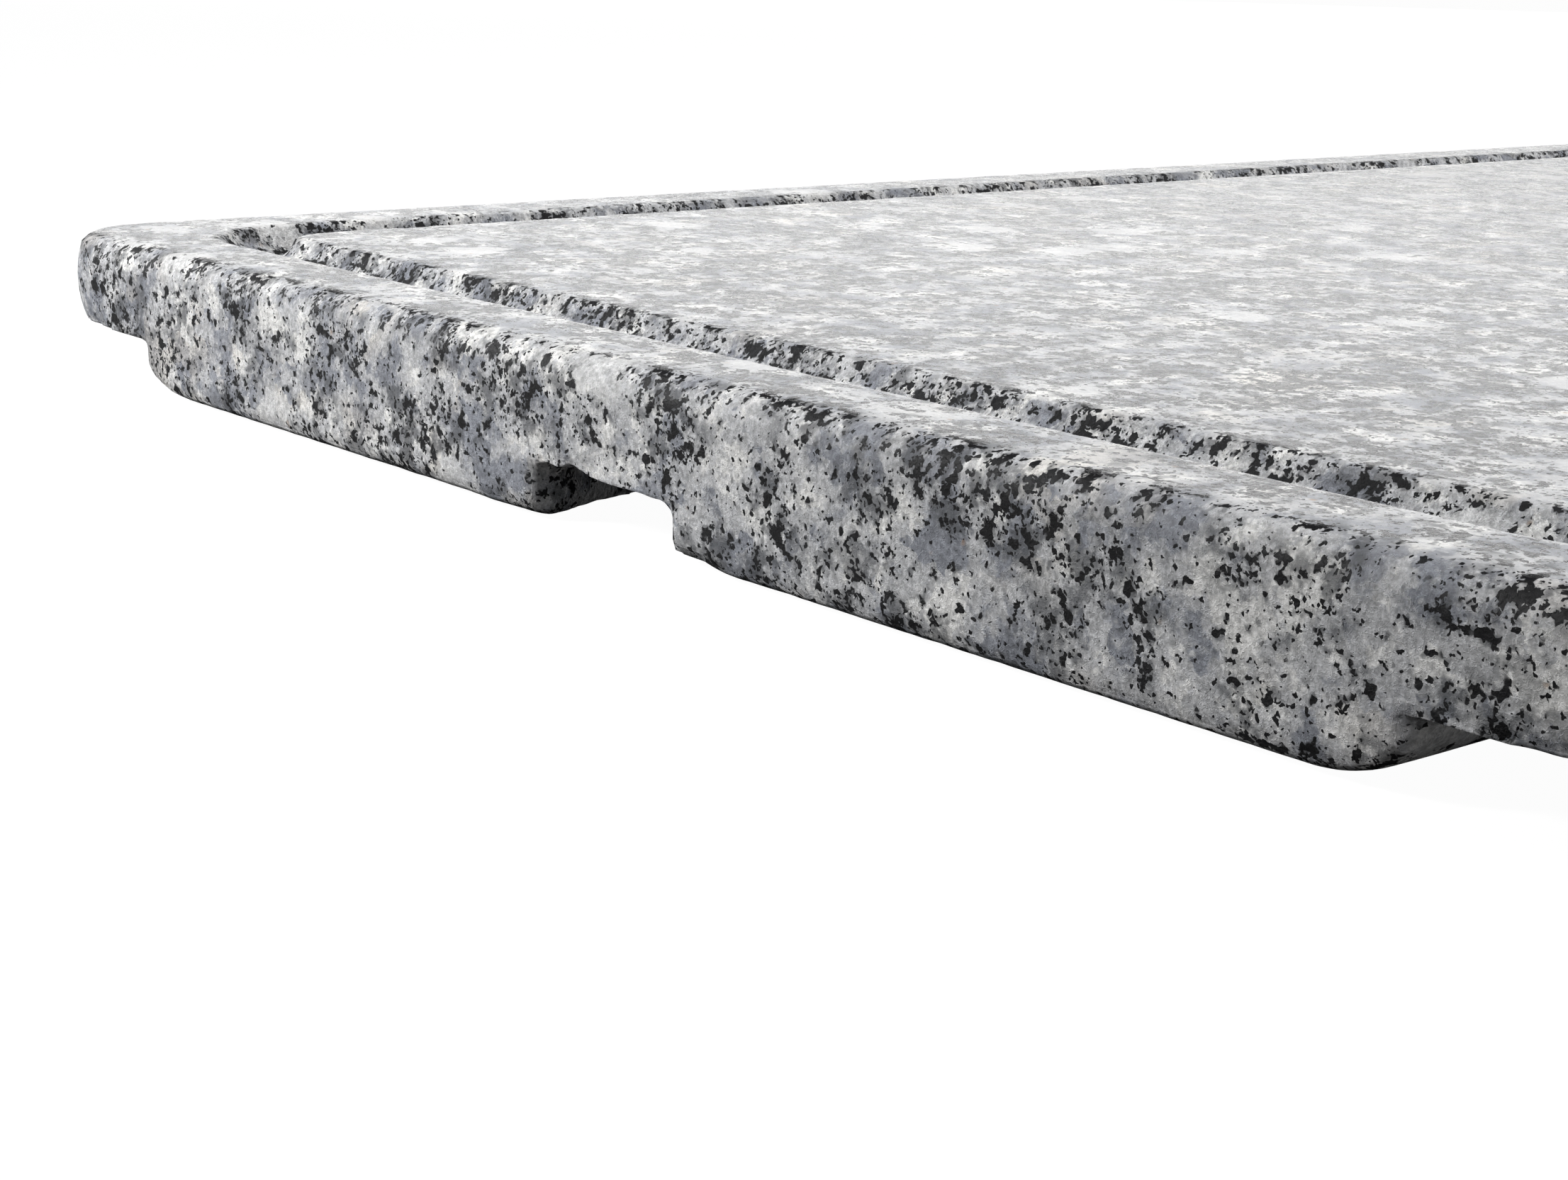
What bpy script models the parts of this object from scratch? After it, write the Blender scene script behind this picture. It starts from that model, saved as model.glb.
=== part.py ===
"""Granite grill stone: one slab of granite with a flat cooking face.

A juice groove runs round the cooking face. Underneath, a rebate is cut along each long side, so that a
block stands proud between them, and a notch is cut into the block at the middle of each short side.

X runs across the short sides, Y runs along the long sides, and +Z is up. The origin is under the middle of
the stone, on the surface that it rests on. Every size is in metres.
"""

from math import atan, cos, degrees, hypot, pi, radians, sin

import bmesh
import bpy

# The slab
WIDTH = 0.210  # across the short sides
LENGTH = 0.420  # along the long sides
THICKNESS = 0.015
CORNER_RADIUS = 0.011  # of the outline, seen from above
TOP_EDGE_RADIUS = 0.0025
BOTTOM_EDGE_RADIUS = 0.0016

# The juice groove, round-bottomed
GROOVE_MARGIN = 0.011  # rim between the slab's edge and the groove
GROOVE_WIDTH = 0.008
GROOVE_DEPTH = 0.003
GROOVE_CORNER_RADIUS = 0.009  # of the groove's middle line, seen from above

# The rebates under the long sides, and the block that stands between them
REBATE_WIDTH = 0.023
REBATE_HEIGHT = 0.0055
NOSE_WIDTH = 0.010  # the block's lower edge is an oval nose, all along a rebate
NOSE_HEIGHT = 0.0052
BLOCK_CORNER_RADIUS = 0.003  # of the block's four corners, seen from below

# The notches under the short sides
NOTCH_WIDTH = 0.015  # at the mouth, before its corners are rounded
NOTCH_FLARE = 0.0075  # how far each side of a notch opens out towards its back
NOTCH_DEPTH = 0.018
NOTCH_HEIGHT = 0.0048
NOTCH_MOUTH_RADIUS = 0.0025  # of the block's corners on each side of the mouth, seen from below
NOTCH_BACK_RADIUS = 0.004  # of the notch's back corners, seen from below

# How finely round shapes are cut, and how far a cutter runs past the stone
CORNER_STEPS = 7
EDGE_STEPS = 4
NOSE_STEPS = 6
GROOVE_RING_RESOLUTION = 7
OVERCUT = 0.004
ARC_RUN_OUT = 0.0002  # an arc crosses the face that it ends in by this much, so the cut is clean


def new_collection(name):
    collection = bpy.data.collections.new(name)
    bpy.context.scene.collection.children.link(collection)
    return collection


def granite():
    """Light grey granite, honed: pale, dull and not metallic."""
    material = bpy.data.materials.new("granite")
    material.use_nodes = True
    shader = material.node_tree.nodes["Principled BSDF"]
    shader.inputs["Base Color"].default_value = (0.60, 0.60, 0.61, 1.0)
    shader.inputs["Roughness"].default_value = 0.5
    shader.inputs["Metallic"].default_value = 0.0
    return material


def object_from(bm, name, collection):
    mesh = bpy.data.meshes.new(name)
    bm.to_mesh(mesh)
    bm.free()
    obj = bpy.data.objects.new(name, mesh)
    collection.objects.link(obj)
    return obj


def round_edges(bm, edges, radius, segments):
    bmesh.ops.bevel(
        bm,
        geom=edges,
        offset=radius,
        offset_type="OFFSET",
        segments=segments,
        profile=0.5,
        affect="EDGES",
        material=-1,
        clamp_overlap=True,
    )


def edges_at_height(bm, height):
    return [e for e in bm.edges if all(abs(v.co.z - height) < 1e-6 for v in e.verts)]


def slab_blank(collection):
    """The sawn slab before any cut: round corners, and rounded edges above and below."""
    bm = bmesh.new()
    bmesh.ops.create_cube(bm, size=1.0)
    bmesh.ops.scale(bm, vec=(WIDTH, LENGTH, THICKNESS), verts=bm.verts)
    bmesh.ops.translate(bm, vec=(0, 0, THICKNESS / 2), verts=bm.verts)
    upright = [e for e in bm.edges if abs(e.verts[0].co.z - e.verts[1].co.z) > THICKNESS / 2]
    round_edges(bm, upright, CORNER_RADIUS, CORNER_STEPS)
    round_edges(bm, edges_at_height(bm, THICKNESS), TOP_EDGE_RADIUS, EDGE_STEPS)
    round_edges(bm, edges_at_height(bm, 0.0), BOTTOM_EDGE_RADIUS, EDGE_STEPS)
    return object_from(bm, "grill_stone", collection)


def arc(centre, radii, start, end, steps):
    """Points along an arc of a circle or an oval, from the start angle to the end angle in degrees."""
    points = []
    for step in range(steps + 1):
        angle = radians(start + (end - start) * step / steps)
        points.append((centre[0] + radii[0] * cos(angle), centre[1] + radii[1] * sin(angle)))
    return points


def prism(name, corners, travel, collection):
    """A cutter: the flat outline through these corners, swept by the travel vector."""
    bm = bmesh.new()
    face = bm.faces.new([bm.verts.new(corner) for corner in corners])
    swept = bmesh.ops.extrude_face_region(bm, geom=[face])
    moved = [item for item in swept["geom"] if isinstance(item, bmesh.types.BMVert)]
    bmesh.ops.translate(bm, vec=travel, verts=moved)
    bmesh.ops.recalc_face_normals(bm, faces=bm.faces)
    return object_from(bm, name, collection)


def rebate_cutter(name, side, collection):
    """Cuts the rebate under one long side and rounds the block's lower edge beside it."""
    block_side = WIDTH / 2 - REBATE_WIDTH
    outside = WIDTH / 2 + OVERCUT
    start = -LENGTH / 2 - OVERCUT
    section = [(outside, -OVERCUT), (outside, REBATE_HEIGHT), (block_side, REBATE_HEIGHT)]
    nose_centre = (block_side - NOSE_WIDTH, NOSE_HEIGHT - ARC_RUN_OUT)
    section += arc(nose_centre, (NOSE_WIDTH, NOSE_HEIGHT), 0, -90, NOSE_STEPS)
    section += [(block_side - NOSE_WIDTH, -OVERCUT)]
    corners = [(side * x, start, z) for x, z in section]
    return prism(name, corners, (0, LENGTH + 2 * OVERCUT, 0), collection)


def block_corner_cutter(name, side, end, collection):
    """Rounds one upright corner of the block, between its end face and its rebate."""
    face_x = WIDTH / 2 - REBATE_WIDTH
    face_y = LENGTH / 2
    radius = BLOCK_CORNER_RADIUS
    centre = (face_x - radius + ARC_RUN_OUT, face_y - radius + ARC_RUN_OUT)
    outline = arc(centre, (radius, radius), 0, 90, CORNER_STEPS)
    outline += [
        (centre[0], face_y + OVERCUT),
        (face_x + OVERCUT, face_y + OVERCUT),
        (face_x + OVERCUT, centre[1]),
    ]
    corners = [(side * x, end * y, -OVERCUT) for x, y in outline]
    return prism(name, corners, (0, 0, REBATE_HEIGHT + OVERCUT), collection)


def notch_cutter(name, end, collection):
    """Cuts the notch in the middle of one short side. It opens out towards its back."""
    mouth = LENGTH / 2
    back = mouth - NOTCH_DEPTH
    slope = NOTCH_FLARE / NOTCH_DEPTH
    lean = degrees(atan(slope))
    # an arc touches the sloping side when its centre stands off by this many radii
    stand_off = slope + hypot(1, slope)
    mouth_x = NOTCH_WIDTH / 2 + NOTCH_MOUTH_RADIUS * stand_off
    mouth_centre = (mouth_x, mouth - NOTCH_MOUTH_RADIUS + ARC_RUN_OUT)
    back_x = NOTCH_WIDTH / 2 + NOTCH_FLARE - NOTCH_BACK_RADIUS * stand_off
    back_centre = (back_x, back + NOTCH_BACK_RADIUS)
    mouth_radii = (NOTCH_MOUTH_RADIUS, NOTCH_MOUTH_RADIUS)
    back_radii = (NOTCH_BACK_RADIUS, NOTCH_BACK_RADIUS)
    outline = [(mouth_x, mouth + OVERCUT)]
    outline += arc(mouth_centre, mouth_radii, 90, 180 + lean, CORNER_STEPS)
    outline += arc(back_centre, back_radii, lean, -90, CORNER_STEPS)
    outline += [(-x, y) for x, y in reversed(outline)]
    corners = [(x, end * y, -OVERCUT) for x, y in outline]
    return prism(name, corners, (0, 0, NOTCH_HEIGHT + OVERCUT), collection)


def groove_cutter(name, collection):
    """A round bar bent into a loop, which cuts the juice groove where it dips below the cooking face."""
    bar_radius = (GROOVE_WIDTH**2 / 4 + GROOVE_DEPTH**2) / (2 * GROOVE_DEPTH)
    bar_height = THICKNESS - GROOVE_DEPTH + bar_radius
    inset = GROOVE_MARGIN + GROOVE_WIDTH / 2 + GROOVE_CORNER_RADIUS
    arc_x = WIDTH / 2 - inset
    arc_y = LENGTH / 2 - inset
    middle_line = []
    for quarter, (sign_x, sign_y) in enumerate([(1, 1), (-1, 1), (-1, -1), (1, -1)]):
        start = 90 * quarter
        centre = (sign_x * arc_x, sign_y * arc_y)
        radii = (GROOVE_CORNER_RADIUS, GROOVE_CORNER_RADIUS)
        middle_line += arc(centre, radii, start, start + 90, CORNER_STEPS)
    curve = bpy.data.curves.new(name + "_path", "CURVE")
    curve.dimensions = "3D"
    curve.bevel_depth = bar_radius
    curve.bevel_resolution = GROOVE_RING_RESOLUTION
    spline = curve.splines.new("POLY")
    spline.points.add(len(middle_line) - 1)
    for point, (x, y) in zip(spline.points, middle_line):
        point.co = (x, y, bar_height, 1.0)
    spline.use_cyclic_u = True
    path = bpy.data.objects.new(name + "_path", curve)
    collection.objects.link(path)
    bpy.context.view_layer.update()
    graph = bpy.context.evaluated_depsgraph_get()
    bm = bmesh.new()
    bm.from_mesh(bpy.data.meshes.new_from_object(path.evaluated_get(graph)))
    bmesh.ops.remove_doubles(bm, verts=bm.verts, dist=1e-6)
    bmesh.ops.recalc_face_normals(bm, faces=bm.faces)
    bpy.data.objects.remove(path)
    return object_from(bm, name, collection)


def cut(stone, cutter):
    cutter.hide_render = True
    cutter.display_type = "WIRE"
    modifier = stone.modifiers.new("cut " + cutter.name, "BOOLEAN")
    modifier.operation = "DIFFERENCE"
    modifier.solver = "EXACT"
    modifier.object = cutter


def main():
    for obj in list(bpy.data.objects):
        bpy.data.objects.remove(obj)
    parts = new_collection("granite_slab")
    cutters = new_collection("cutters")
    stone = slab_blank(parts)
    stone.data.materials.append(granite())
    stone.data.shade_smooth()
    stone.data.set_sharp_from_angle(angle=pi / 6)
    for side, word in ((-1, "left"), (1, "right")):
        cut(stone, rebate_cutter(word + "_rebate_cutter", side, cutters))
    for end, word in ((-1, "front"), (1, "back")):
        cut(stone, notch_cutter(word + "_notch_cutter", end, cutters))
        for side, side_word in ((-1, "left"), (1, "right")):
            name = word + "_" + side_word + "_corner_cutter"
            cut(stone, block_corner_cutter(name, side, end, cutters))
    cut(stone, groove_cutter("groove_cutter", cutters))


main()
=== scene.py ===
"""Granite grill stone: the finished look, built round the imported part.

X runs across the short sides, Y along the long sides and +Z up, with the origin under the middle of the
stone. Every size is in metres unless its name says otherwise.
"""

from math import cos, pi, radians, sin

import bmesh
import bpy
import numpy as np
from bpy.props import FloatProperty, FloatVectorProperty, IntProperty, PointerProperty
from bpy.types import Operator, Panel, PropertyGroup
from mathutils import Matrix, Vector, noise


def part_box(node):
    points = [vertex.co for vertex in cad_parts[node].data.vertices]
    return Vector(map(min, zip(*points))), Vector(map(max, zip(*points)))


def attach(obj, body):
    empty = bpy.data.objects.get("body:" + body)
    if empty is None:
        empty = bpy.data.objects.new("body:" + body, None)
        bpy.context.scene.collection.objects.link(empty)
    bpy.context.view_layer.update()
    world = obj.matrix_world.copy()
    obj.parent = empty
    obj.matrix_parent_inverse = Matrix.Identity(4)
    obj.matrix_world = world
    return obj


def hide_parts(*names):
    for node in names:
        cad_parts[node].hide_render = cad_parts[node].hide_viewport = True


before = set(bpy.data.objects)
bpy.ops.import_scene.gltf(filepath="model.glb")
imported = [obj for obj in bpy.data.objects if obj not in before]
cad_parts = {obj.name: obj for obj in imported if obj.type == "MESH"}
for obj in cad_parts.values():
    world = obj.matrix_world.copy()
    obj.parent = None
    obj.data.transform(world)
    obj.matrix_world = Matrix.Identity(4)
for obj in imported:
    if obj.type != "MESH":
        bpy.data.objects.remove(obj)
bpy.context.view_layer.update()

bl_info = {
    "name": "Granite Grill Stone",
    "version": (1, 0, 0),
    "blender": (4, 5, 0),
    "location": "View3D > Sidebar > Grill stone",
    "description": "Dresses a grill stone in worn, speckled granite and sets its stage",
    "category": "Object",
}

STONE_LOW, STONE_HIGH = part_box("grill_stone")
HALF_WIDTH = STONE_HIGH.x
HALF_LENGTH = STONE_HIGH.y
THICKNESS = STONE_HIGH.z

# Where the stone's cuts lie
CORNER_RADIUS = 0.011
LEDGE_HEIGHT = 0.0055  # of the rebates' ceilings above the surface the stone rests on
BLOCK_HALF_WIDTH = HALF_WIDTH - 0.023
NOTCH_HEIGHT = 0.0048
NOTCH_HALF_WIDTH = 0.0108  # where its rounded mouth meets the end face
GROOVE_MIDDLE = 0.015  # from the stone's edge to the groove's middle line
GROOVE_HALF_WIDTH = 0.004
GROOVE_CORNER_RADIUS = 0.009

# The floor lies a hair below the stone, so that the two never share a plane
FLOOR_GAP = 0.0002
FLOOR_REACH = 12.0
ROOM_BRIGHTNESS = 1.02  # of the room as the camera sees it, a little past white

# Each light's name, place, aim, width, height and watts. The left softbox has a narrow beam as well, which
# keeps its light near the front left corner.
LIGHTS = (
    ("left softbox", (-0.50, -0.70, 0.43), (-0.090, -0.21, 0.008), 0.25, 0.25, 0.29, radians(22.5)),
    ("top softbox", (0.55, 0.30, 0.62), (0.0, 0.05, 0.0), 0.8, 0.8, 9.5),
    ("back panel", (-1.15, 1.15, 0.16), (0.0, 0.0, 0.02), 1.9, 0.36, 6.4),
    ("front fill", (0.75, -0.75, 0.07), (0.0, -0.20, 0.0), 0.5, 0.12, 0.70),
)


# ---------------------------------------------------------------- sizes and colours


class StoneSettings(PropertyGroup):
    mesh_size: FloatProperty(
        name="Mesh size",
        description="Edge length of the skin that the wear is shaped in",
        default=0.00056,
        min=0.0004,
        unit="LENGTH",
    )
    corner_bulge: FloatProperty(
        name="Corner bulge",
        description="Radius of the bulging outline of the stone's upright corners, seen from the side",
        default=0.0125,
        unit="LENGTH",
    )
    chip_depth: FloatProperty(
        name="Chip depth",
        description="Deepest chip along the front edge of a notch's ceiling",
        default=0.00055,
        unit="LENGTH",
    )
    groove_roughness: FloatProperty(
        name="Groove roughness",
        description="Depth of the tool marks left in the groove",
        default=0.00011,
        unit="LENGTH",
    )
    edge_wear: FloatProperty(
        name="Edge wear",
        description="Depth of the small irregular wear along the arrises",
        default=0.00005,
        unit="LENGTH",
    )
    triangles: IntProperty(
        name="Triangles",
        description="Triangles that the finished stone is thinned to",
        default=190000,
        min=1000,
        subtype="UNSIGNED",
    )


def colour(name, description, default):
    return FloatVectorProperty(name=name, description=description, subtype="COLOR", default=default)


class GraniteSettings(PropertyGroup):
    quartz: colour("Quartz", "Bluish grey quartz between the lighter crystals", (0.31, 0.325, 0.365))
    feldspar: colour("Feldspar", "Light grey feldspar, most of the stone", (0.60, 0.605, 0.62))
    white: colour("White crystals", "The lightest feldspar", (0.90, 0.895, 0.88))
    cream: colour("Cream crystals", "Feldspar with a warm tint", (0.74, 0.69, 0.62))
    mica: colour("Mica", "Black mica grains", (0.011, 0.011, 0.012))
    chlorite: colour("Smudges", "Greenish grey smudges round the mica", (0.105, 0.112, 0.122))
    rust: colour("Rust spots", "Rare small rusty spots", (0.36, 0.20, 0.08))


class StageSettings(PropertyGroup):
    lens: FloatProperty(
        name="Lens", description="Focal length in millimetres", default=60.2, min=1.0
    )
    camera_place: FloatVectorProperty(
        name="Camera place",
        description="Where the camera stands",
        default=(0.1706, -0.3332, 0.0498),
        subtype="TRANSLATION",
        unit="LENGTH",
    )
    camera_heading: FloatProperty(
        name="Heading",
        description="Direction the camera looks in, from +X towards +Y",
        default=radians(139.936),
        subtype="ANGLE",
        unit="ROTATION",
    )
    camera_dip: FloatProperty(
        name="Dip",
        description="How far the camera looks down",
        default=radians(14.318),
        subtype="ANGLE",
        unit="ROTATION",
    )
    camera_tilt: FloatProperty(
        name="Tilt",
        description="How far the camera leans to one side",
        default=radians(1.55),
        subtype="ANGLE",
        unit="ROTATION",
    )
    daylight: FloatProperty(
        name="Room light", description="Strength of the light from the room all round", default=0.05
    )


# ---------------------------------------------------------------- shaping the stone


def object_from(bm, name):
    mesh = bpy.data.meshes.new(name)
    bm.to_mesh(mesh)
    bm.free()
    obj = bpy.data.objects.new(name, mesh)
    bpy.context.scene.collection.objects.link(obj)
    return obj


def bake_modifiers(obj):
    """Applies the object's modifiers to its mesh."""
    graph = bpy.context.evaluated_depsgraph_get()
    mesh = bpy.data.meshes.new_from_object(obj.evaluated_get(graph))
    old = obj.data
    obj.modifiers.clear()
    obj.data = mesh
    bpy.data.meshes.remove(old)


def corner_cutter(bulge, side_x, side_y):
    """A quarter ring with a hollow inside face, which makes one upright corner bulge at its middle height.

    Its two straight tails lead away from the stone, so the cut fades out along the sides.
    """
    margin = 0.003
    tail = 0.009
    overrun = 0.0004  # past the ledge and the top, and off the stone at the end of each tail
    section_steps = 12
    turn_steps = 14
    middle = (LEDGE_HEIGHT + THICKNESS) / 2
    half_height = (THICKNESS - LEDGE_HEIGHT) / 2 + overrun
    centre = Vector((HALF_WIDTH - CORNER_RADIUS, HALF_LENGTH - CORNER_RADIUS, 0))
    section = [(CORNER_RADIUS + margin, middle + half_height)]
    for step in range(section_steps + 1):
        height = half_height * (1 - 2 * step / section_steps)
        section.append((CORNER_RADIUS - bulge + (bulge**2 - height**2) ** 0.5, middle + height))
    section += [(CORNER_RADIUS + margin, middle - half_height)]
    inset = bulge - (bulge**2 - half_height**2) ** 0.5
    bm = bmesh.new()
    verts = [bm.verts.new((centre.x + out, centre.y, z)) for out, z in section]
    face = bm.faces.new(verts)
    spun = bmesh.ops.spin(
        bm,
        geom=[face],
        axis=(0, 0, 1),
        cent=centre,
        angle=pi / 2,
        steps=turn_steps,
        use_duplicate=False,
    )
    far_end = [item for item in spun["geom_last"] if isinstance(item, bmesh.types.BMFace)]
    near_end = [f for f in bm.faces if all(abs(v.co.y - centre.y) < 1e-7 for v in f.verts)]
    away = inset + overrun
    for end, travel in ((far_end, (-tail, away, 0)), (near_end, (away, -tail, 0))):
        drawn = bmesh.ops.extrude_face_region(bm, geom=end)
        moved = [item for item in drawn["geom"] if isinstance(item, bmesh.types.BMVert)]
        bmesh.ops.translate(bm, vec=travel, verts=moved)
        bmesh.ops.delete(bm, geom=[f for f in end if f.is_valid], context="FACES_ONLY")
    bmesh.ops.scale(bm, vec=(side_x, side_y, 1), verts=bm.verts)
    bmesh.ops.recalc_face_normals(bm, faces=bm.faces)
    return object_from(bm, "corner_cutter")


def coordinates(mesh):
    points = np.empty(len(mesh.vertices) * 3)
    mesh.vertices.foreach_get("co", points)
    return points.reshape(-1, 3)


def normals(mesh):
    points = np.empty(len(mesh.vertices) * 3)
    mesh.vertex_normals.foreach_get("vector", points)
    return points.reshape(-1, 3)


def edge_pairs(mesh):
    pairs = np.empty(len(mesh.edges) * 2, dtype=np.int64)
    mesh.edges.foreach_get("vertices", pairs)
    return pairs.reshape(-1, 2)


def mean_of_neighbours(values, pairs):
    """For each vertex, the mean of the values at the far ends of its edges."""
    total = np.zeros_like(values)
    np.add.at(total, pairs[:, 0], values[pairs[:, 1]])
    np.add.at(total, pairs[:, 1], values[pairs[:, 0]])
    count = np.bincount(pairs.ravel(), minlength=len(values)).clip(1)
    return total / (count[:, None] if values.ndim == 2 else count)


def relax(points, pairs, weight, rounds):
    """Draws each point towards its neighbours, which rounds edges over. Where weight is 0 nothing moves."""
    active = weight > 0.001
    near = active[pairs[:, 0]] | active[pairs[:, 1]]
    pairs = pairs[near]
    for _ in range(rounds):
        pull = mean_of_neighbours(points, pairs) - points
        points = points + 0.6 * weight[:, None] * np.where(active[:, None], pull, 0.0)
    return points


def ball(points, centre, radius):
    """1 at the centre of a ball, falling smoothly to 0 at its surface."""
    t = 1 - np.linalg.norm((points - np.array(centre)) / np.array(radius), axis=1)
    t = t.clip(0, 1)
    return t * t * (3 - 2 * t)


def step_up(values, low, high):
    """0 below the low limit and 1 above the high one, with a smooth rise between them."""
    t = ((values - low) / (high - low)).clip(0, 1)
    return t * t * (3 - 2 * t)


def step_down(values, low, high):
    """1 below the low limit and 0 above the high one."""
    return 1 - step_up(values, low, high)


def groove_distance(points):
    """Each point's distance from the groove's middle line, seen from above, and negative inside it."""
    half_x = HALF_WIDTH - GROOVE_MIDDLE - GROOVE_CORNER_RADIUS
    half_y = HALF_LENGTH - GROOVE_MIDDLE - GROOVE_CORNER_RADIUS
    over_x = np.abs(points[:, 0]) - half_x
    over_y = np.abs(points[:, 1]) - half_y
    outside = np.hypot(over_x.clip(0), over_y.clip(0))
    inside = np.minimum(np.maximum(over_x, over_y), 0)
    return outside + inside - GROOVE_CORNER_RADIUS


def in_groove(points):
    """1 in the groove, 0 elsewhere."""
    fade = 0.0009
    inside = step_down(np.abs(groove_distance(points)), GROOVE_HALF_WIDTH, GROOVE_HALF_WIDTH + fade)
    return inside * step_up(points[:, 2], LEDGE_HEIGHT + 0.002, LEDGE_HEIGHT + 0.003)


def bumps(points, chosen, size, depth, offset, octaves=2):
    """Soft noise from -1 to 1 at the chosen points, with features about this size, times the depth.

    The offset shifts the noise, so that no two kinds of wear line up.
    """
    out = np.zeros(len(points))
    shift = Vector((offset, offset * 1.7, offset * 0.6))
    for index in np.nonzero(chosen)[0]:
        place = Vector(points[index] / size) + shift
        out[index] = noise.fractal(place, 1.0, 2.0, octaves)
    return out * depth


def bends(points, pairs, out):
    """How far each point stands out from its neighbours. It is high along the arrises."""
    return ((mean_of_neighbours(points, pairs) - points) * -out).sum(axis=1)


def round_lower_edges(points, pairs):
    """Rounds over the block's outer corners, the foot of its end faces and the notches' lower edges."""
    strength = 1.6  # over 1, so that the middle of each patch is rounded fully
    corner_inset = 0.006
    corner_reach = (0.013, 0.008, 0.0040)
    mouth_inset = 0.004
    worn_mouth_reach = (0.0075, 0.010, 0.0030)  # of the left-hand edge, looking at either end face
    crisp_mouth_reach = (0.0040, 0.006, 0.0010)
    rounds = 10
    soft = np.zeros(len(points))
    for end in (-1, 1):
        for side in (-1, 1):
            corner = (side * (BLOCK_HALF_WIDTH - corner_inset), end * HALF_LENGTH, 0.0)
            soft = np.maximum(soft, strength * ball(points, corner, corner_reach))
            mouth = (side * NOTCH_HALF_WIDTH, end * (HALF_LENGTH - mouth_inset), 0.0)
            reach = worn_mouth_reach if side == end else crisp_mouth_reach
            soft = np.maximum(soft, strength * ball(points, mouth, reach))
    foot = step_up(np.abs(points[:, 1]), HALF_LENGTH - 0.0050, HALF_LENGTH - 0.0032)
    foot *= step_down(points[:, 2], 0.0022, 0.0034)
    foot *= step_up(np.abs(points[:, 0]), NOTCH_HALF_WIDTH + 0.0040, NOTCH_HALF_WIDTH + 0.0100)
    soft = np.maximum(soft, foot)
    return relax(points, pairs, soft.clip(0, 1), rounds)


def surface_wear(points, pairs, out, settings):
    """How far each point moves outwards: small wear along every arris, and tool marks in the groove."""
    wear_size = 0.0028
    mark_size = 0.0021
    ridge = step_up(bends(points, pairs, out), 0.000004, 0.00003)
    for _ in range(3):
        ridge = mean_of_neighbours(ridge, pairs)
    wear = bumps(points, ridge > 0.03, wear_size, 1.0, offset=3.1)
    move = np.zeros(len(points))
    move -= ridge * (0.25 + wear).clip(0) * settings.edge_wear * 1.6

    groove = in_groove(points)
    groove *= step_up(np.abs(THICKNESS - points[:, 2]) + 0.001 * ridge, 0.00005, 0.0006)
    marks = bumps(points, groove > 0.02, mark_size, 1.0, offset=8.4, octaves=3)
    move += groove * marks * settings.groove_roughness
    return move


def break_out_lips(points, chip_depth):
    """Breaks out the front edge of each notch's ceiling, mostly left of its middle."""
    break_size = 0.0031
    stretch = np.array([1.0, 0.5, 0.5])
    deepest = 0.0045  # from the notch's middle, to the left when looking at either end face
    spread = 0.0026
    lip = step_up(np.abs(points[:, 1]), HALF_LENGTH - 0.0042, HALF_LENGTH - 0.0012)
    lip *= step_down(np.abs(points[:, 0]), NOTCH_HALF_WIDTH - 0.0035, NOTCH_HALF_WIDTH - 0.0015)
    height = points[:, 2] - NOTCH_HEIGHT
    lip *= step_up(height, -0.0012, -0.0002) * step_down(height, 0.0002, 0.0016)
    breaks = bumps(points * stretch, lip > 0.02, break_size, 1.0, offset=1.3, octaves=3)
    along = np.sign(points[:, 1]) * points[:, 0] - deepest
    lip *= np.exp(-((along / spread) ** 2)) + 0.3 * step_up(along, -0.006, -0.001)
    break_out = lip * (0.45 + breaks).clip(0, 1.2) * chip_depth
    points[:, 2] += 0.85 * break_out
    points[:, 1] -= np.sign(points[:, 1]) * 0.5 * break_out


def chip_feet(points):
    """One long shallow chip under each end face, on the right of its notch."""
    start = 0.0095
    rise = 0.0005
    setback = 0.0003
    for end in (-1, 1):
        along = -end * points[:, 0] - start
        chip = step_up(along, -0.002, 0.0008) * step_down(along, 0.0016, 0.0085)
        chip *= step_up(end * points[:, 1], HALF_LENGTH - 0.0034, HALF_LENGTH - 0.0008)
        chip *= step_down(points[:, 2], 0.0006, 0.0021)
        points[:, 2] += rise * chip
        points[:, 1] -= end * setback * chip


def roughen_ceilings(points, out):
    """Leaves the notches' ceilings as uneven as they were cut."""
    bump_size = 0.0035
    bump_depth = 0.00012
    under = (points[:, 2] > 0.004) & (points[:, 2] < 0.0064) & (out[:, 2] < -0.8)
    over_notch = np.abs(points[:, 0]) < 0.02
    points[:, 2] += bumps(points, under & over_notch, bump_size, bump_depth, offset=5.5)


def shape_wear(mesh, settings):
    """Rounds, chips and roughens the sawn stone as cutting, grinding and use have."""
    pairs = edge_pairs(mesh)
    points = round_lower_edges(coordinates(mesh), pairs)
    mesh.vertices.foreach_set("co", points.ravel())
    mesh.update()
    out = normals(mesh)
    move = surface_wear(points, pairs, out, settings)
    break_out_lips(points, settings.chip_depth)
    chip_feet(points)
    roughen_ceilings(points, out)
    points += out * move[:, None]
    mesh.vertices.foreach_set("co", points.ravel())
    mesh.update()


def keep_inside(mesh):
    """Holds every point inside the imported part's box."""
    points = coordinates(mesh).clip(np.array(STONE_LOW), np.array(STONE_HIGH))
    mesh.vertices.foreach_set("co", points.ravel())
    mesh.update()


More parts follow.
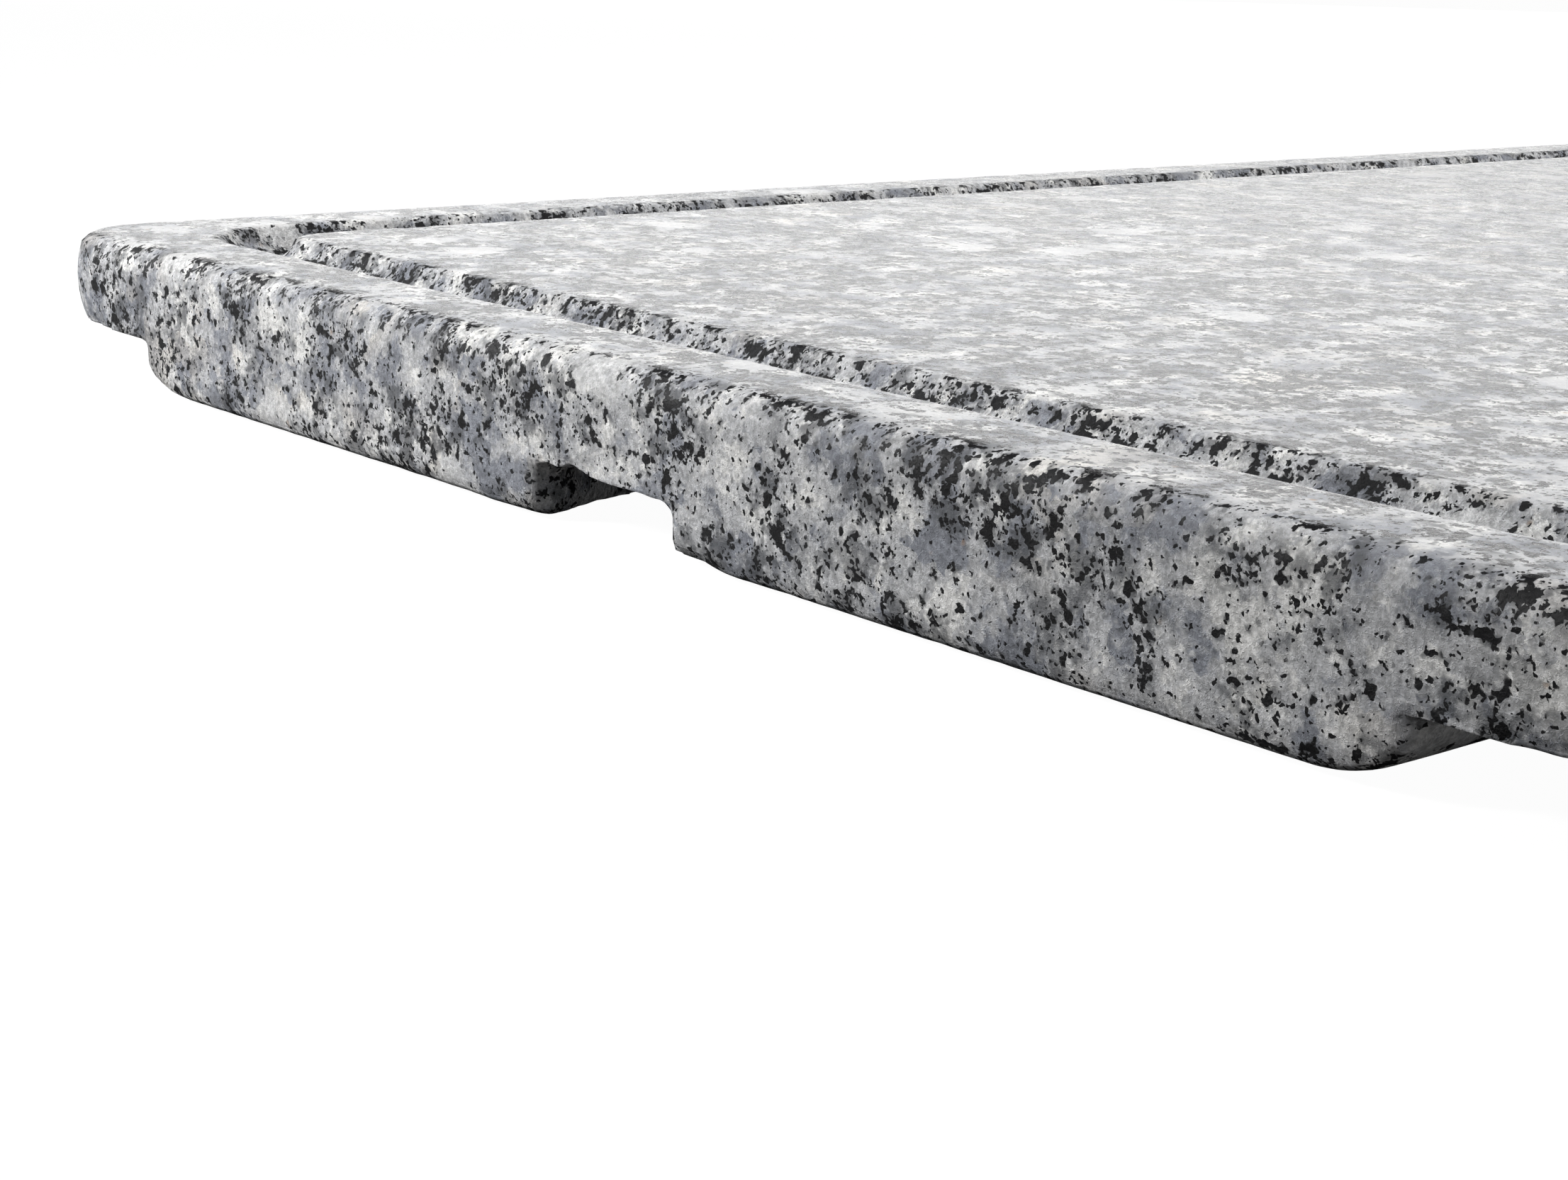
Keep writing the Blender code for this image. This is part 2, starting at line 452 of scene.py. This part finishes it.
def mark_finishes(mesh):
    """Stores where the stone is worn, where it was cut rough, and where it was honed. The honed mark also
    lightens the top a little, as painted sheen.
    """
    points = coordinates(mesh)
    out = normals(mesh)
    pairs = edge_pairs(mesh)
    worn = step_up(bends(points, pairs, out), 0.000004, 0.00004)
    for _ in range(2):
        worn = mean_of_neighbours(worn, pairs)
    rough = in_groove(points) * step_up(THICKNESS - points[:, 2], 0.0001, 0.0006)
    under = step_down(out[:, 2], -0.85, -0.45)
    low = step_down(points[:, 2], LEDGE_HEIGHT + 0.0004, LEDGE_HEIGHT + 0.0014)
    rough = np.maximum(rough, under * low)
    inner = (np.abs(points[:, 0]) < NOTCH_HALF_WIDTH + 0.005) & (points[:, 2] < NOTCH_HEIGHT)
    inner &= (np.abs(points[:, 1]) < HALF_LENGTH - 0.0012) & (points[:, 2] > 0.0004)
    rough = np.maximum(rough, np.where(inner, 1.0, 0.0))
    # the honed top faces, which the material also mixes towards white as painted sheen
    honed_and_sheen = step_up(out[:, 2], 0.86, 0.985) * (1 - rough)
    for name, values in (("worn", worn), ("rough_cut", rough), ("honed_and_sheen", honed_and_sheen)):
        layer = mesh.attributes.new(name, "FLOAT", "POINT")
        layer.data.foreach_set("value", values.astype(np.float32))


# ---------------------------------------------------------------- node helpers


class Nodes:
    """Adds and links the nodes of one tree."""

    def __init__(self, tree):
        self.tree = tree

    def fill(self, socket, value):
        """Links another socket into this one, or sets its value."""
        if isinstance(value, bpy.types.NodeSocket):
            self.tree.links.new(value, socket)
        else:
            socket.default_value = value

    def add(self, kind, inputs=None, **settings):
        node = self.tree.nodes.new(kind)
        for key, value in settings.items():
            setattr(node, key, value)
        for key, value in (inputs or {}).items():
            self.fill(node.inputs[key], value)
        return node

    def maths(self, operation, a, b=0.0, c=0.0):
        return self.add("ShaderNodeMath", {0: a, 1: b, 2: c}, operation=operation).outputs[0]

    def noise(self, vector, size, detail=3.0, roughness=0.55):
        """Noise from 0 to 1 with features about this size."""
        inputs = {"Vector": vector, "Scale": 1 / size, "Detail": detail, "Roughness": roughness}
        return self.add("ShaderNodeTexNoise", inputs).outputs["Fac"]

    def bent(self, place, frequency, reach, detail=1.0, roughness=0.5):
        """The place, shifted this way and that by up to half the reach, so that borders wander."""
        wander = self.add(
            "ShaderNodeTexNoise",
            {"Vector": place, "Scale": frequency, "Detail": detail, "Roughness": roughness},
        )
        off_middle = self.add(
            "ShaderNodeVectorMath",
            {0: wander.outputs["Color"], 1: (0.5, 0.5, 0.5)},
            operation="SUBTRACT",
        )
        shifted = self.add(
            "ShaderNodeVectorMath",
            {0: off_middle.outputs[0], 1: (reach, reach, reach), 2: place},
            operation="MULTIPLY_ADD",
        )
        return shifted.outputs[0]

    def cells(self, vector, size):
        """Crystals of about this size: the distance to each one's middle, and two numbers drawn for it."""
        node = self.add("ShaderNodeTexVoronoi", {"Vector": vector, "Scale": 1 / size})
        split = self.add("ShaderNodeSeparateColor", {0: node.outputs["Color"]})
        return node.outputs["Distance"], split.outputs[0], split.outputs[1]

    def between(self, value, low, high, to_low=0.0, to_high=1.0):
        """Maps a value smoothly between two limits."""
        node = self.add(
            "ShaderNodeMapRange",
            {
                "Value": value,
                "From Min": low,
                "From Max": high,
                "To Min": to_low,
                "To Max": to_high,
            },
            interpolation_type="SMOOTHSTEP",
        )
        return node.outputs["Result"]

    def mix(self, factor, a, b, blend="MIX"):
        node = self.add("ShaderNodeMix", {0: factor}, data_type="RGBA", blend_type=blend)
        for key, value in ((6, a), (7, b)):
            is_socket = isinstance(value, bpy.types.NodeSocket)
            self.fill(node.inputs[key], value if is_socket else (*value[:3], 1.0))
        return node.outputs[2]

    def stored(self, name):
        return self.add("ShaderNodeAttribute", attribute_name=name).outputs["Fac"]


def new_group(name, inputs, outputs):
    """A node group with these sockets, each given as (name, kind) or (name, kind, default)."""
    tree = bpy.data.node_groups.new(name, "ShaderNodeTree")
    kinds = {"colour": "NodeSocketColor", "value": "NodeSocketFloat", "vector": "NodeSocketVector"}
    for direction, sockets in (("INPUT", inputs), ("OUTPUT", outputs)):
        for socket_name, kind, *default in sockets:
            socket = tree.interface.new_socket(
                name=socket_name, in_out=direction, socket_type=kinds[kind]
            )
            if default:
                value = default[0]
                socket.default_value = (*value, 1.0) if kind == "colour" else value
    nodes = Nodes(tree)
    return nodes, nodes.add("NodeGroupInput"), nodes.add("NodeGroupOutput")


def crystals_group(granite):
    """The pale ground of the granite: quartz, feldspar, white and cream crystals."""
    cloud_size = 0.0046
    crystal_size = 0.0032
    warm_size = 0.009
    big_size = 0.0105
    sugar_size = 0.00055
    line_size = 0.0007
    nodes, given, made = new_group(
        "granite crystals",
        [
            ("Place", "vector"),
            ("Quartz", "colour", granite.quartz),
            ("Feldspar", "colour", granite.feldspar),
            ("White", "colour", granite.white),
            ("Cream", "colour", granite.cream),
        ],
        [("Colour", "colour"), ("Pale", "value"), ("Grain", "value")],
    )
    place = given.outputs["Place"]
    bent = nodes.bent(place, 700.0, 0.0026, detail=2.0, roughness=0.6)

    clouds = nodes.noise(bent, cloud_size, detail=4.0, roughness=0.62)
    _, tone, kind = nodes.cells(bent, crystal_size)
    level = nodes.maths("MULTIPLY_ADD", nodes.maths("SUBTRACT", tone, 0.5), 0.16, clouds)
    quartz = nodes.between(level, 0.50, 0.38)
    white = nodes.between(level, 0.545, 0.66)
    colour = nodes.mix(quartz, given.outputs["Feldspar"], given.outputs["Quartz"])
    colour = nodes.mix(white, colour, given.outputs["White"])
    warm = nodes.between(nodes.noise(place, warm_size, detail=2.0), 0.50, 0.68)
    warm = nodes.maths("MULTIPLY", warm, nodes.between(kind, 0.35, 0.7))
    colour = nodes.mix(nodes.maths("MULTIPLY", warm, 0.38), colour, given.outputs["Cream"])

    # a few big pale crystals with ragged borders
    reach, draw, _ = nodes.cells(bent, big_size)
    ragged = nodes.maths("MULTIPLY_ADD", nodes.maths("SUBTRACT", clouds, 0.5), 1.3, reach)
    chosen = nodes.between(draw, 0.74, 0.78)
    big = nodes.maths("MULTIPLY", nodes.between(ragged, 0.42, 0.24), chosen)
    pale = nodes.mix(0.35, given.outputs["White"], given.outputs["Feldspar"])
    colour = nodes.mix(nodes.maths("MULTIPLY", big, 0.65), colour, pale)

    # sugary fine grain, with bright hair lines between the crystals
    fine = nodes.noise(place, sugar_size, detail=4.0, roughness=0.75)
    lines = nodes.noise(place, line_size, detail=3.0)
    lines = nodes.maths("ABSOLUTE", nodes.maths("SUBTRACT", lines, 0.5))
    grain = nodes.maths("MULTIPLY_ADD", nodes.between(lines, 0.030, 0.0), 0.22, fine)
    nodes.fill(made.inputs["Colour"], colour)
    nodes.fill(made.inputs["Pale"], big)
    nodes.fill(made.inputs["Grain"], grain)
    return nodes.tree


def mica_group():
    """Black mica: angular grains in loose clusters, with softer smudges round them and rare rust."""
    cluster_size = 0.0056
    smudge_size = 0.0024
    rust_size = 0.0008
    # for big, middling and small grains: the size of the crystals that make up a grain, the grain's own
    # size, and how rare it is
    layers = ((0.00036, 0.0015, 0.618), (0.00024, 0.00085, 0.616), (0.00016, 0.0004, 0.650))
    halo_size = layers[0][1]
    crisp = 0.006
    nodes, given, made = new_group(
        "granite mica",
        [("Place", "vector"), ("Amount", "value", 1.0), ("Pale", "value", 0.0)],
        [("Black", "value"), ("Smudge", "value"), ("Rust", "value")],
    )
    place = given.outputs["Place"]
    pale = given.outputs["Pale"]
    bent = nodes.bent(place, 1500.0, 0.0005)
    clusters = nodes.noise(place, cluster_size, detail=3.0, roughness=0.55)
    clear = nodes.maths("SUBTRACT", 1.0, nodes.maths("MULTIPLY", pale, 0.9))
    more = nodes.maths("MULTIPLY_ADD", given.outputs["Amount"], 0.07, -0.07)
    gather = nodes.between(clusters, 0.36, 0.66, -0.045, 0.042)
    gather = nodes.maths("ADD", gather, more)
    gather = nodes.maths("SUBTRACT", gather, nodes.maths("MULTIPLY", pale, 0.12))

    # each small crystal is black where the soft noise at its middle is high, so grains have angular edges
    grains = []
    for crystal, size, limit in layers:
        cells = nodes.add("ShaderNodeTexVoronoi", {"Vector": bent, "Scale": 1 / crystal})
        level = nodes.noise(cells.outputs["Position"], size, detail=1.5, roughness=0.55)
        level = nodes.maths("ADD", level, gather)
        grains.append(nodes.between(level, limit - crisp, limit + crisp))
    black = nodes.maths("MAXIMUM", nodes.maths("MAXIMUM", grains[0], grains[1]), grains[2])

    smudge = nodes.between(nodes.noise(bent, smudge_size, detail=3.0, roughness=0.65), 0.47, 0.61)
    smudge = nodes.maths("MULTIPLY", smudge, nodes.between(clusters, 0.36, 0.54))
    halo = nodes.maths("ADD", nodes.noise(bent, halo_size, detail=1.5, roughness=0.55), gather)
    halo = nodes.between(halo, 0.555, 0.640, 0.0, 0.85)
    smudge = nodes.maths("MAXIMUM", nodes.maths("MULTIPLY", smudge, clear), halo)
    reach, draw, _ = nodes.cells(place, rust_size)
    rust = nodes.maths("MULTIPLY", nodes.between(reach, 0.55, 0.10), nodes.between(draw, 0.004, 0.002))
    nodes.fill(made.inputs["Black"], black)
    nodes.fill(made.inputs["Smudge"], smudge)
    nodes.fill(made.inputs["Rust"], rust)
    return nodes.tree


def granite_material(granite):
    scratch_size = 0.00030
    scratch_lean = radians(38.0)
    pit_size = 0.0011
    relief_height = 0.00013
    material = bpy.data.materials.new("granite")
    material.use_nodes = True
    nodes = Nodes(material.node_tree)
    shader = material.node_tree.nodes["Principled BSDF"]
    place = nodes.add("ShaderNodeTexCoord").outputs["Object"]
    worn = nodes.stored("worn")
    rough_cut = nodes.stored("rough_cut")
    honed_and_sheen = nodes.stored("honed_and_sheen")

    crystals = nodes.add("ShaderNodeGroup", {"Place": place}, node_tree=crystals_group(granite))
    # the cut and honed faces show more mica than the ground sides do
    amount = nodes.maths("MULTIPLY_ADD", rough_cut, 0.3, 1.0)
    amount = nodes.maths("MULTIPLY_ADD", honed_and_sheen, 0.45, amount)
    mica = nodes.add(
        "ShaderNodeGroup",
        {"Place": place, "Pale": crystals.outputs["Pale"], "Amount": amount},
        node_tree=mica_group(),
    )
    black = mica.outputs["Black"]
    grain = crystals.outputs["Grain"]

    # grinding marks that run aslant across the sides
    turned = nodes.add(
        "ShaderNodeMapping",
        {"Vector": place, "Rotation": (0.0, scratch_lean, 0.0), "Scale": (1.0, 1.0, 0.13)},
    ).outputs["Vector"]
    scratches = nodes.noise(turned, scratch_size, detail=2.0, roughness=0.6)

    # the fine grain and the marks show less where the stone is honed
    flat = nodes.maths("MULTIPLY_ADD", honed_and_sheen, -0.55, 1.0)
    sugar = nodes.between(grain, 0.30, 0.78, 0.62, 1.42)
    sugar = nodes.maths("MULTIPLY_ADD", nodes.maths("SUBTRACT", sugar, 1.0), flat, 1.0)
    streak = nodes.between(scratches, 0.35, 0.68, -0.05, 0.07)
    tone = nodes.maths("MULTIPLY_ADD", streak, flat, sugar)
    colour = nodes.mix(1.0, crystals.outputs["Colour"], tone, "MULTIPLY")
    # painted sheen: the faces that look up are mixed a little towards white, standing in for the glare on
    # the top
    colour = nodes.mix(nodes.maths("MULTIPLY", honed_and_sheen, 0.12), colour, granite.white)
    colour = nodes.mix(nodes.maths("MULTIPLY", mica.outputs["Smudge"], 0.80), colour, granite.chlorite)
    colour = nodes.mix(nodes.maths("MULTIPLY", mica.outputs["Rust"], 0.6), colour, granite.rust)

    # worn arrises are dusted a little warmer and lighter
    dust = nodes.between(nodes.noise(place, 0.003), 0.35, 0.65, 0.0, 0.15)
    colour = nodes.mix(nodes.maths("MULTIPLY", worn, dust), colour, granite.cream)

    # the mica is not the same black all over
    faded = nodes.between(nodes.noise(place, 0.004), 0.45, 0.7, 0.0, 0.10)
    colour = nodes.mix(black, colour, nodes.mix(faded, granite.mica, granite.chlorite))
    nodes.fill(shader.inputs["Base Color"], colour)

    sheen = nodes.maths("MULTIPLY_ADD", honed_and_sheen, -0.30, 0.66)
    sheen = nodes.maths("MULTIPLY_ADD", rough_cut, 0.16, sheen)
    sheen = nodes.maths("MULTIPLY_ADD", nodes.maths("SUBTRACT", grain, 0.5), 0.22, sheen)
    sheen = nodes.maths("MULTIPLY_ADD", black, -0.12, sheen)
    nodes.fill(shader.inputs["Roughness"], sheen)
    shader.inputs["Specular IOR Level"].default_value = 0.35

    relief = nodes.maths("MULTIPLY_ADD", scratches, 0.25, grain)
    relief = nodes.maths("MULTIPLY", relief, flat)
    relief = nodes.maths("MULTIPLY_ADD", black, -0.25, relief)
    pits = nodes.maths("MULTIPLY", nodes.noise(place, pit_size, detail=4.0, roughness=0.7), 5.0)
    relief = nodes.maths("MULTIPLY_ADD", pits, rough_cut, relief)
    bump = nodes.add("ShaderNodeBump", {"Height": relief, "Strength": 1.0, "Distance": relief_height})
    nodes.fill(shader.inputs["Normal"], bump.outputs["Normal"])
    return material


# ---------------------------------------------------------------- operators


class STONE_OT_slab(Operator):
    """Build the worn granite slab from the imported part"""

    bl_idname = "stone.slab"
    bl_label = "Granite slab"

    def execute(self, context):
        settings = context.scene.stone
        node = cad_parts["grill_stone"]
        bm = bmesh.new()
        bm.from_mesh(node.data)
        bmesh.ops.remove_doubles(bm, verts=bm.verts, dist=1e-6)
        stone = object_from(bm, "granite_stone")
        # the upright corners bulge
        cutters = []
        for side_x in (-1, 1):
            for side_y in (-1, 1):
                cutter = corner_cutter(settings.corner_bulge, side_x, side_y)
                cutter.hide_render = True
                cut = stone.modifiers.new("roll corner", "BOOLEAN")
                cut.operation = "DIFFERENCE"
                cut.solver = "EXACT"
                cut.object = cutter
                cutters.append(cutter)
        bake_modifiers(stone)
        for cutter in cutters:
            bpy.data.objects.remove(cutter)
        # an even skin takes the wear, and is thinned afterwards
        skin = stone.modifiers.new("skin", "REMESH")
        skin.mode = "VOXEL"
        skin.voxel_size = settings.mesh_size * 1.0
        bake_modifiers(stone)
        shape_wear(stone.data, settings)
        stone.data.calc_loop_triangles()
        count = len(stone.data.loop_triangles)
        if count > settings.triangles:
            thin = stone.modifiers.new("thin", "DECIMATE")
            thin.ratio = settings.triangles / count
            bake_modifiers(stone)
        if not stone.data.polygons:
            raise RuntimeError("the stone came out empty")
        keep_inside(stone.data)
        stone.data.shade_smooth()
        mark_finishes(stone.data)
        stone.data.materials.clear()
        stone.data.materials.append(granite_material(context.scene.granite))
        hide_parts("grill_stone")
        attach(stone, "root")
        return {"FINISHED"}


def soft_light(name, place, aim, width, height, watts, spread=pi):
    """A panel light at a place, turned to shine on the aim."""
    light = bpy.data.lights.new(name, "AREA")
    light.shape = "RECTANGLE"
    light.size = width
    light.size_y = height
    light.energy = watts
    light.spread = spread
    obj = bpy.data.objects.new(name, light)
    obj.location = place
    obj.rotation_euler = (Vector(aim) - Vector(place)).to_track_quat("-Z", "Y").to_euler()
    obj.visible_camera = False
    bpy.context.scene.collection.objects.link(obj)


def floor_material():
    """Plain pale floor. It glows, so that it meets the room without a seam, and is clear from below."""
    material = bpy.data.materials.new("floor")
    material.use_nodes = True
    tree = material.node_tree
    nodes = Nodes(tree)
    tree.nodes.remove(tree.nodes["Principled BSDF"])
    glow = nodes.add("ShaderNodeEmission", {"Color": (1.0, 1.0, 1.0, 1.0), "Strength": 0.97})
    matt = nodes.add("ShaderNodeBsdfDiffuse", {"Color": (0.10, 0.10, 0.10, 1.0)})
    dim = nodes.add("ShaderNodeBsdfDiffuse", {"Color": (0.05, 0.05, 0.05, 1.0)})
    seen = nodes.add("ShaderNodeAddShader", {0: glow.outputs[0], 1: matt.outputs[0]})
    by_camera = nodes.add("ShaderNodeLightPath").outputs["Is Camera Ray"]
    above = nodes.add("ShaderNodeMixShader", {0: by_camera, 1: dim.outputs[0], 2: seen.outputs[0]})
    clear = nodes.add("ShaderNodeBsdfTransparent")
    below = nodes.add("ShaderNodeNewGeometry").outputs["Backfacing"]
    surface = nodes.add("ShaderNodeMixShader", {0: below, 1: above.outputs[0], 2: clear.outputs[0]})
    nodes.fill(tree.nodes["Material Output"].inputs["Surface"], surface.outputs[0])
    return material


class STONE_OT_stage(Operator):
    """Lay the floor, light the room and place the camera"""

    bl_idname = "stone.stage"
    bl_label = "Stage"

    def execute(self, context):
        stage = context.scene.stage
        bm = bmesh.new()
        under = Matrix.Translation((0.0, 0.0, -FLOOR_GAP))
        bmesh.ops.create_grid(bm, x_segments=1, y_segments=1, size=FLOOR_REACH, matrix=under)
        floor = object_from(bm, "floor")
        floor.data.materials.append(floor_material())

        world = bpy.data.worlds.new("pale room")
        context.scene.world = world
        world.use_nodes = True
        nodes = Nodes(world.node_tree)
        back = world.node_tree.nodes["Background"]
        back.inputs["Color"].default_value = (1.0, 1.0, 1.0, 1.0)
        by_camera = nodes.add("ShaderNodeLightPath").outputs["Is Camera Ray"]
        strength = nodes.between(by_camera, 0.0, 1.0, stage.daylight, ROOM_BRIGHTNESS)
        nodes.fill(back.inputs["Strength"], strength)

        for light in LIGHTS:
            soft_light(*light)

        context.scene.view_settings.view_transform = "Standard"

        lens = bpy.data.cameras.new("camera")
        lens.lens = stage.lens
        lens.sensor_width = 36.0
        lens.sensor_fit = "HORIZONTAL"
        lens.clip_start = 0.01
        camera = bpy.data.objects.new("camera", lens)
        heading, dip, tilt = stage.camera_heading, stage.camera_dip, stage.camera_tilt
        ahead = Vector((cos(heading) * cos(dip), sin(heading) * cos(dip), -sin(dip)))
        right = ahead.cross(Vector((0, 0, 1))).normalized()
        up = right.cross(ahead)
        level = Matrix((right, up, -ahead)).transposed()
        turn = Matrix.Rotation(tilt, 3, "Z")
        camera.matrix_world = Matrix.Translation(stage.camera_place) @ (level @ turn).to_4x4()
        context.scene.collection.objects.link(camera)
        context.scene.camera = camera
        return {"FINISHED"}


class STONE_PT_panel(Panel):
    bl_label = "Grill stone"
    bl_idname = "STONE_PT_panel"
    bl_space_type = "VIEW_3D"
    bl_region_type = "UI"
    bl_category = "Grill stone"

    def draw(self, context):
        for operator in OPERATORS:
            self.layout.operator(operator.bl_idname)
        for title, group in (("Shape", "stone"), ("Granite", "granite"), ("Stage", "stage")):
            box = self.layout.box()
            box.label(text=title)
            settings = getattr(context.scene, group)
            for name in settings.bl_rna.properties.keys():
                if name not in ("rna_type", "name"):
                    box.prop(settings, name)


GROUPS = {"stone": StoneSettings, "granite": GraniteSettings, "stage": StageSettings}
OPERATORS = (STONE_OT_slab, STONE_OT_stage)


def register():
    for group in GROUPS.values():
        bpy.utils.register_class(group)
    for name, group in GROUPS.items():
        setattr(bpy.types.Scene, name, PointerProperty(type=group))
    for operator in OPERATORS:
        bpy.utils.register_class(operator)
    bpy.utils.register_class(STONE_PT_panel)


def unregister():
    bpy.utils.unregister_class(STONE_PT_panel)
    for operator in reversed(OPERATORS):
        bpy.utils.unregister_class(operator)
    for name, group in reversed(GROUPS.items()):
        delattr(bpy.types.Scene, name)
        bpy.utils.unregister_class(group)


def main():
    register()
    bpy.ops.stone.slab()
    bpy.ops.stone.stage()


if __name__ == "__main__":
    main()
